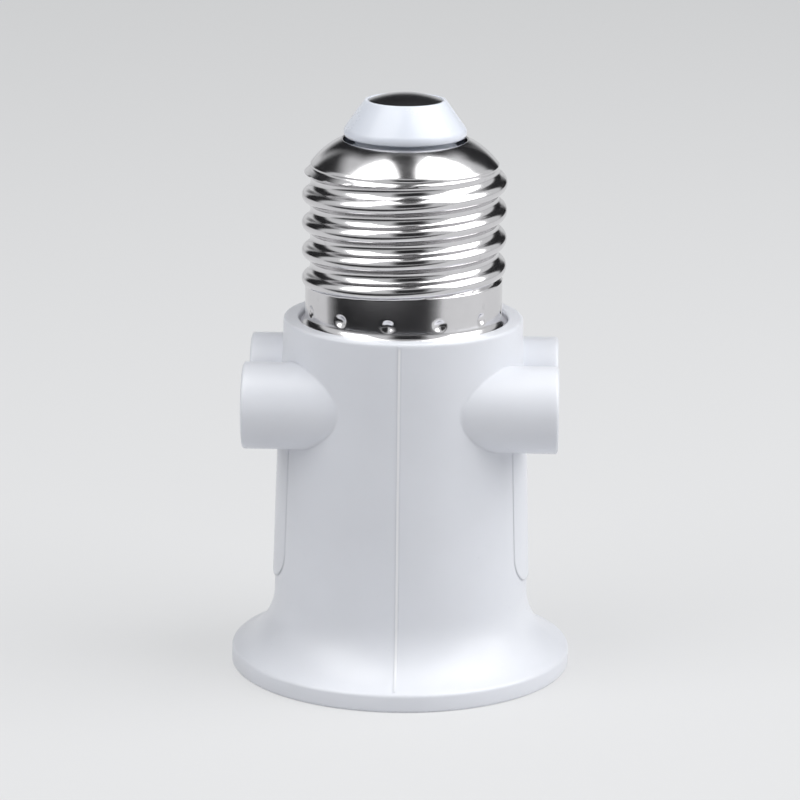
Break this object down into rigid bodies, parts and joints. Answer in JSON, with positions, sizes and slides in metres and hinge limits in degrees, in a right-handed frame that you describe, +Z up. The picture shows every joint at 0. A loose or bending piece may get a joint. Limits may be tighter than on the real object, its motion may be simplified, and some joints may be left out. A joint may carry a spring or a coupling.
{
  "type": "lamp socket adapter",
  "caption": "White adapter with a nickelled screw cap on top, a threaded lamp socket in its flared base and a two-pin outlet of paired barrels on each side.",
  "frame": {"origin": "centre of the foot ring, on the plane that the flange stands on", "axes": "+Z up along the screw cap's axis; the outlets face -X and +X; the mould's parting line runs down the front at -Y"},
  "size_m": [0.0444, 0.0442, 0.0755],
  "materials": {
    "white_plastic": "satin gloss moulding",
    "insulator_plastic": "satin gloss moulding",
    "carrier_plastic": "matt moulding",
    "nickelled_cap": "bright nickel plate",
    "nickelled_tip": "nickel plate, slightly dulled",
    "socket_metal": "bright rolled sheet",
    "contact_brass": "bright rolled strip",
    "copper_wire": "bare copper",
    "brown_sleeve": "soft insulation",
    "blue_sleeve": "soft insulation",
    "zinced_steel": "zinc plate",
    "spring_steel": "bright wire"
  },
  "bodies": {
    "adapter": {"housing": "white_plastic", "screw_cap": "nickelled_cap", "cap_insulator": "insulator_plastic", "tip_contact": "nickelled_tip", "live_wire": "copper_wire", "live_sleeve": "brown_sleeve", "neutral_wire": "copper_wire", "neutral_sleeve": "blue_sleeve", "live_contact": "contact_brass", "neutral_contact": "contact_brass", "contact_carrier": "carrier_plastic", "lamp_shell": "socket_metal", "carrier_screws": "zinced_steel", "live_screws": "zinced_steel", "neutral_rivet": "contact_brass", "contact_spring": "spring_steel"},
    "plunger": {"centre_contact": "contact_brass"}
  },
  "joints": [
    {"name": "plunger_travel", "type": "slide", "parent": "adapter", "child": "plunger", "axis": [0, 0, 1], "range_m": [0, 0.002], "stiffness_N_per_m": 1500, "springref_m": -0.002, "deforming": ["contact_spring"]}
  ]
}
